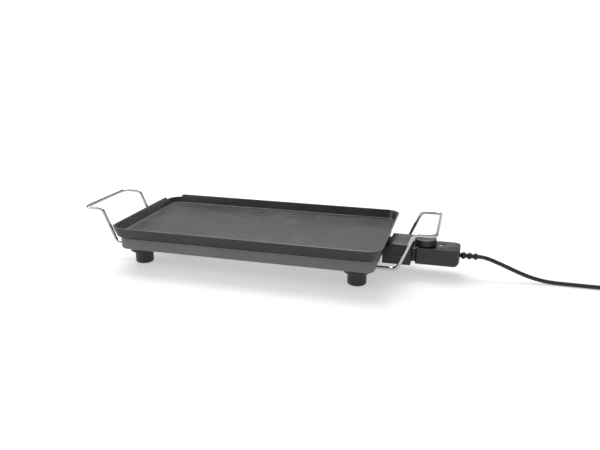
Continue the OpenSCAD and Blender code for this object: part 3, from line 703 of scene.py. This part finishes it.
def handle_points(node, side, sizes):
    """Centre line of one handle, from the hook at one foot round to the other; side is -1 on the left."""
    low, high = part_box(node)
    wire_r = sizes.wire_d / 2
    y = high.y - wire_r
    z_run = low.z + wire_r
    z_grip = high.z - wire_r
    x_hook = low.x + wire_r if side > 0 else high.x - wire_r
    x_grip = high.x - wire_r if side > 0 else low.x + wire_r
    tray_low, tray_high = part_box("base_tray")
    x_knee = tray_high.x + sizes.knee_out if side > 0 else tray_low.x - sizes.knee_out
    x_upper = x_knee + side * sizes.leg_lean
    near = [
        Vector((x_hook, -y, z_run + sizes.hook_rise)), Vector((x_hook, -y, z_run)),
        Vector((x_knee, -y, z_run)), Vector((x_upper, -y, z_grip)), Vector((x_grip, -y, z_grip)),
    ]
    corners = near + [Vector((p.x, y, p.z)) for p in reversed(near)]
    radii = [0, sizes.hook_r, sizes.knee_r, sizes.knee_r, sizes.grip_r]
    radii += list(reversed(radii))
    points = [corners[0]]
    for i in range(1, len(corners) - 1):
        points += arc_points(corners[i - 1], corners[i], corners[i + 1], radii[i])
    return points + [corners[-1]]


class GRIDDLE_OT_handles(bpy.types.Operator):
    """Bend the two wire handles"""
    bl_idname = "griddle.handles"
    bl_label = "Wire handles"

    def execute(self, context):
        sizes = context.scene.griddle_sizes
        for node, side in (("left_handle", -1), ("right_handle", 1)):
            wire = tube_curve(node + "_wire", handle_points(node, side, sizes), sizes.wire_d,
                              sides=14)
            select_only(wire)
            bpy.ops.object.convert(target="MESH")
            wire = bpy.context.object
            smooth(wire, math.radians(50))
            dress(wire, "griddle", FINISHES["chrome_wire"])
            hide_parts(node)
        return {"FINISHED"}


class GRIDDLE_OT_feet(bpy.types.Operator):
    """Finish the four feet and their rubber pads"""
    bl_idname = "griddle.feet"
    bl_label = "Feet"

    def execute(self, context):
        for end in ("front_left", "front_right", "back_left", "back_right"):
            foot, body = rounded_copy("foot_" + end, 0.0006)
            dress(foot, body, FINISHES["foot_resin"])
        pads, body = rounded_copy("foot_pads", 0.0005)
        dress(pads, body, FINISHES["pad_rubber"])
        return {"FINISHED"}


class GRIDDLE_OT_socket(bpy.types.Operator):
    """Finish the socket housing under the rim"""
    bl_idname = "griddle.socket"
    bl_label = "Socket housing"

    def execute(self, context):
        housing, body = rounded_copy("socket_housing", context.scene.griddle_sizes.moulded_edge)
        dress(housing, body, FINISHES["black_resin"])
        return {"FINISHED"}


class GRIDDLE_OT_control(bpy.types.Operator):
    """Finish the plug-in control and its lamp window"""
    bl_idname = "griddle.control"
    bl_label = "Plug-in control"

    def execute(self, context):
        for node in ("control_top", "control_bottom"):
            shell, body = rounded_copy(node, context.scene.griddle_sizes.moulded_edge * 0.8)
            dress(shell, body, FINISHES["control_resin"])
        low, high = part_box("lamp_window")
        radius = (high.x - low.x) / 2
        rise = high.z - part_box("control_top")[1].z
        height = high.z - low.z
        dome = [
            (radius * math.cos(a), height - rise + rise * math.sin(a))
            for a in (math.radians(9 * k) for k in range(10))
        ]
        window = turned(
            "lamp_window_lens", [(radius, 0)] + dome, ((low.x + high.x) / 2, 0, low.z), sides=40)
        smooth(window)
        dress(window, "control", FINISHES["lamp_lens"])
        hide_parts("lamp_window")
        return {"FINISHED"}


class GRIDDLE_OT_dial(bpy.types.Operator):
    """Turn the dial, with its finger grooves and pointer"""
    bl_idname = "griddle.dial"
    bl_label = "Dial"

    def execute(self, context):
        sizes = context.scene.griddle_sizes
        low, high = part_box("dial")
        centre = (low + high) / 2
        radius = (high.x - low.x) / 2
        height = high.z - low.z
        wall_low, wall_high = 0.0030, height - 0.0016
        rings = [
            (radius - 0.0003, 0), (radius, 0.0003), (radius, wall_low - 0.0006),
            (radius - 0.0001, wall_low),
            (radius - 0.0001, wall_high), (radius - 0.0003, height - 0.0006),
            (radius - 0.0008, height - 0.0001), (radius - 0.0013, height),
            (radius - 0.0030, height),
            (radius - 0.0036, height - 0.0005), (0.0006, height - 0.0005),
        ]
        dial = turned("dial_knob", rings, (centre.x, centre.y, low.z), sides=sizes.dial_flutes * 4)
        self.cut_flutes(dial, sizes, low.z + (wall_low + wall_high) / 2, centre)
        apply_modifier(dial, "BEVEL", width=0.00022, segments=2, limit_method="ANGLE",
                       angle_limit=math.radians(38), use_clamp_overlap=True)
        smooth(dial, math.radians(32))
        dress(dial, "dial", FINISHES["dial_resin"])
        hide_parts("dial")
        self.add_pointer(centre, radius, high.z)
        return {"FINISHED"}

    def cut_flutes(self, dial, sizes, level, centre):
        """Presses every other pair of wall faces in as a finger groove."""
        select_only(dial)
        bpy.ops.object.mode_set(mode="EDIT")
        bpy.ops.mesh.select_all(action="DESELECT")
        bpy.ops.object.mode_set(mode="OBJECT")
        face_turn = 2 * math.pi / (sizes.dial_flutes * 4)
        for face in dial.data.polygons:
            across = face.center - centre
            turn = math.atan2(across.y, across.x) % (2 * math.pi)
            face.select = abs(face.center.z - level) < 0.0008 and int(turn / face_turn) % 4 < 2
        bpy.ops.object.mode_set(mode="EDIT")
        bpy.ops.mesh.select_mode(type="FACE")
        bpy.ops.mesh.inset(thickness=0.0003, depth=-sizes.flute_depth)
        bpy.ops.mesh.select_mode(type="VERT")
        bpy.ops.object.mode_set(mode="OBJECT")

    def add_pointer(self, centre, radius, top_z):
        """A painted bar across the dial's face."""
        bpy.ops.object.select_all(action="DESELECT")
        bpy.ops.mesh.primitive_cube_add(
            size=1, location=(centre.x, centre.y + radius * POINTER_SHARE, top_z - 0.0004))
        bar = bpy.context.object
        bar.name = "dial_pointer"
        bar.scale = (0.0013, radius * POINTER_SHARE, 0.0004)
        settle(bar)
        apply_modifier(bar, "BEVEL", width=0.00012, segments=2, limit_method="ANGLE")
        smooth(bar)
        dress(bar, "dial", FINISHES["pointer_mark"])


class GRIDDLE_OT_inner_parts(bpy.types.Operator):
    """Give the screws, heater, contacts and other inner parts their finishes"""
    bl_idname = "griddle.inner_parts"
    bl_label = "Inner parts"

    def execute(self, context):
        slots = {s["node"]: s["material_slot"] for s in frame["record"]["subparts"]}
        for name, part in frame["nodes"].items():
            if part.hide_render:
                continue
            part.data.materials.clear()
            part.data.materials.append(FINISHES[slots[name]])
        return {"FINISHED"}


class GRIDDLE_OT_stage(bpy.types.Operator):
    """Set up the pale floor, the surround and the soft lights"""
    bl_idname = "griddle.stage"
    bl_label = "Studio"

    def execute(self, context):
        view = context.scene.griddle_view
        bpy.ops.object.select_all(action="DESELECT")
        bpy.ops.mesh.primitive_plane_add(size=60, location=(0, 0, 0))
        floor = context.object
        floor.name = "studio_floor"
        settle(floor)
        floor.data.materials.append(FINISHES["studio_floor"])
        self.add_light("softbox", (-0.5, 0.9, 1.7), (0, 0, 0.05), 1.7, 1.2, view.softbox_power)
        self.add_light("strip", (-1.5, -0.9, 0.9), (0, 0, 0.06), 0.25, 1.2, view.strip_power)
        context.scene.view_settings.view_transform = "Standard"
        self.make_surround(context, view.sky)
        return {"FINISHED"}

    def add_light(self, name, place, target, width, depth, power):
        bpy.ops.object.light_add(type="AREA", location=place)
        light = bpy.context.object
        light.name = name
        light.rotation_euler = (Vector(target) - Vector(place)).to_track_quat("-Z", "Y").to_euler()
        light.data.shape = "RECTANGLE"
        light.data.size = width
        light.data.size_y = depth
        light.data.energy = power

    def make_surround(self, context, strength):
        """White at the horizon, darker half way up, and bright again overhead."""
        world = bpy.data.worlds.new("Studio surround")
        world.use_nodes = True
        context.scene.world = world
        tree = world.node_tree
        parts = tree.nodes.new("ShaderNodeSeparateXYZ")
        tree.links.new(tree.nodes.new("ShaderNodeTexCoord").outputs["Generated"],
                       parts.inputs["Vector"])
        ramp = tree.nodes.new("ShaderNodeValToRGB")
        tree.links.new(parts.outputs["Z"], ramp.inputs["Fac"])
        levels = [(0.0, 1.0), (0.14, 1.0), (0.26, 0.70), (0.42, 0.16), (0.68, 0.35), (1.0, 1.0)]
        while len(ramp.color_ramp.elements) < len(levels):
            ramp.color_ramp.elements.new(0.5)
        for stop, (place, level) in zip(ramp.color_ramp.elements, levels):
            stop.position = place
        for stop, (place, level) in zip(ramp.color_ramp.elements, levels):
            stop.color = (level, level, level, 1)
        background = tree.nodes["Background"]
        tree.links.new(ramp.outputs["Color"], background.inputs["Color"])
        background.inputs["Strength"].default_value = strength


# ---- panel and registration ----

STEPS = [
    GRIDDLE_OT_camera, GRIDDLE_OT_lead, GRIDDLE_OT_plate, GRIDDLE_OT_tray, GRIDDLE_OT_handles,
    GRIDDLE_OT_feet, GRIDDLE_OT_socket, GRIDDLE_OT_control, GRIDDLE_OT_dial, GRIDDLE_OT_inner_parts,
    GRIDDLE_OT_stage,
]
SETTINGS = {"griddle_sizes": GriddleSizes, "griddle_colours": GriddleColours,
            "griddle_view": GriddleView}


class GRIDDLE_PT_panel(bpy.types.Panel):
    """Steps and settings of the griddle"""
    bl_label = "Electric table griddle"
    bl_idname = "GRIDDLE_PT_panel"
    bl_space_type = "VIEW_3D"
    bl_region_type = "UI"
    bl_category = "Griddle"

    def draw(self, context):
        for step in STEPS:
            self.layout.operator(step.bl_idname)
        for name in SETTINGS:
            group = getattr(context.scene, name)
            box = self.layout.box()
            for key in group.bl_rna.properties.keys():
                if key not in ("rna_type", "name"):
                    box.prop(group, key)


CLASSES = [*SETTINGS.values(), *STEPS, GRIDDLE_PT_panel]


def register():
    for kind in CLASSES:
        bpy.utils.register_class(kind)
    for name, kind in SETTINGS.items():
        setattr(bpy.types.Scene, name, PointerProperty(type=kind))


def unregister():
    for name in SETTINGS:
        delattr(bpy.types.Scene, name)
    for kind in reversed(CLASSES):
        bpy.utils.unregister_class(kind)


def main():
    register()
    make_finishes(bpy.context.scene.griddle_colours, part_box("griddle_plate")[1].z)
    for step in STEPS:
        group, name = step.bl_idname.split(".")
        getattr(getattr(bpy.ops, group), name)()


if __name__ == "__main__":
    main()
